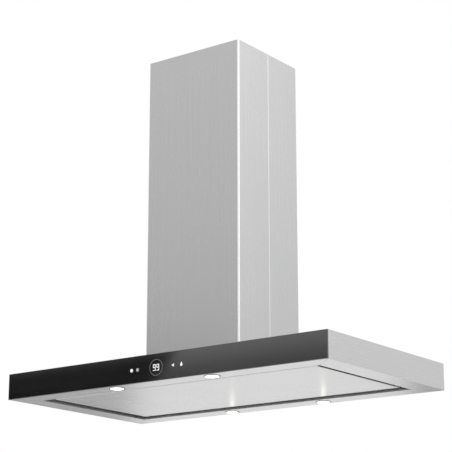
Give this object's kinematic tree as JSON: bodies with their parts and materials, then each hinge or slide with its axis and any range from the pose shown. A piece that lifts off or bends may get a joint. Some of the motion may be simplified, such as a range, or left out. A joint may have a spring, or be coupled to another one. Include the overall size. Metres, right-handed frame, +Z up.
{
  "type": "island range hood",
  "caption": "Flat stainless island hood with a black glass front, perimeter suction panel and lamps below, hung from the ceiling by a telescopic frame in a square chimney.",
  "frame": {"origin": "centre of the ceiling plate's top face, where it meets the ceiling", "axes": "+Z up into the ceiling, +X to the right along the canopy seen from the glass front, -Y towards the glass front"},
  "size_m": [1, 0.5502, 0.9107],
  "materials": {
    "satin_steel": "fine brushed satin",
    "canopy_steel": "fine brushed satin",
    "black_glass": "polished, black backed",
    "white_print": "printed, lit from behind",
    "chrome_trim": "polished",
    "lamp_glass": "frosted, lit",
    "galvanised": "galvanised, spangled",
    "zinc": "zinc plated",
    "filter_mesh": "layered expanded mesh",
    "filter_frame": "satin anodised",
    "black_plastic": "moulded, fine grain",
    "grey_plastic": "moulded, fine grain",
    "white_plastic": "moulded, fine grain",
    "motor_casting": "die cast"
  },
  "bodies": {
    "ceiling_mount": {"ceiling_plate": "galvanised", "upper_posts": "galvanised", "upper_frame_ring": "galvanised", "frame_lock_bolts": "zinc", "upper_cover_front": "satin_steel", "upper_cover_rear": "satin_steel"},
    "hood": {"base_frame": "galvanised", "blower_hangers": "galvanised", "cable_gland": "black_plastic", "catch_magnets": "black_plastic", "control_module": "black_plastic", "display": "white_print", "filter_frame_1": "filter_frame", "filter_frame_2": "filter_frame", "filter_frame_3": "filter_frame", "filter_meshes": "filter_mesh", "filter_support": "galvanised", "flap_pin": "zinc", "frame_screws": "zinc", "front_rail": "canopy_steel", "glass_front_panel": "black_glass", "lamp_bezel_1": "chrome_trim", "lamp_bezel_2": "chrome_trim", "lamp_bezel_3": "chrome_trim", "lamp_bezel_4": "chrome_trim", "lamp_housings": "black_plastic", "lamp_lens_1": "lamp_glass", "lamp_lens_2": "lamp_glass", "lamp_lens_3": "lamp_glass", "lamp_lens_4": "lamp_glass", "latch_keepers": "zinc", "led_driver": "white_plastic", "left_rail": "canopy_steel", "lower_cover_front": "satin_steel", "lower_cover_rear": "satin_steel", "lower_frame_ring": "galvanised", "lower_posts": "galvanised", "motor": "motor_casting", "motor_bracket": "zinc", "outlet_collar": "grey_plastic", "pivot_brackets": "zinc", "rear_filter_ledge": "galvanised", "rear_rail": "canopy_steel", "right_rail": "canopy_steel", "terminal_box": "grey_plastic", "terminal_box_lid": "grey_plastic", "top_panel": "canopy_steel", "touch_icons": "white_print", "volute_front": "grey_plastic", "volute_rear": "grey_plastic"},
    "suction_panel": {"suction_panel": "canopy_steel", "pivot_pins": "zinc", "panel_strikers": "zinc"},
    "impeller": {"impeller": "galvanised", "motor_shaft": "zinc"},
    "flap_left": {"flap_left": "white_plastic"},
    "flap_right": {"flap_right": "white_plastic"},
    "latch_1": {"filter_latch_1": "black_plastic"},
    "latch_2": {"filter_latch_2": "black_plastic"},
    "latch_3": {"filter_latch_3": "black_plastic"}
  },
  "joints": [
    {"name": "height_slide", "type": "slide", "parent": "ceiling_mount", "child": "hood", "axis": [0, 0, -1], "range_m": [0, 0.3]},
    {"name": "panel_hinge", "type": "hinge", "parent": "hood", "child": "suction_panel", "pos_m": [0, 0.178, -0.8975], "axis": [1, 0, 0], "range_deg": [0, 90]},
    {"name": "impeller_spin", "type": "hinge", "parent": "hood", "child": "impeller", "pos_m": [-0.02886, 0, -0.71], "axis": [0, 1, 0], "continuous": true},
    {"name": "flap_left_hinge", "type": "hinge", "parent": "hood", "child": "flap_left", "pos_m": [0, 0, -0.57], "axis": [0, 1, 0], "range_deg": [0, 75]},
    {"name": "flap_right_hinge", "type": "hinge", "parent": "hood", "child": "flap_right", "pos_m": [0, 0, -0.57], "axis": [0, -1, 0], "range_deg": [0, 75]},
    {"name": "filter_latch_1_slide", "type": "slide", "parent": "hood", "child": "latch_1", "axis": [0, 1, 0], "range_m": [0, 0.006], "stiffness_N_per_m": 400, "springref_m": -0.003},
    {"name": "filter_latch_2_slide", "type": "slide", "parent": "hood", "child": "latch_2", "axis": [0, 1, 0], "range_m": [0, 0.006], "stiffness_N_per_m": 400, "springref_m": -0.003},
    {"name": "filter_latch_3_slide", "type": "slide", "parent": "hood", "child": "latch_3", "axis": [0, 1, 0], "range_m": [0, 0.006], "stiffness_N_per_m": 400, "springref_m": -0.003}
  ]
}
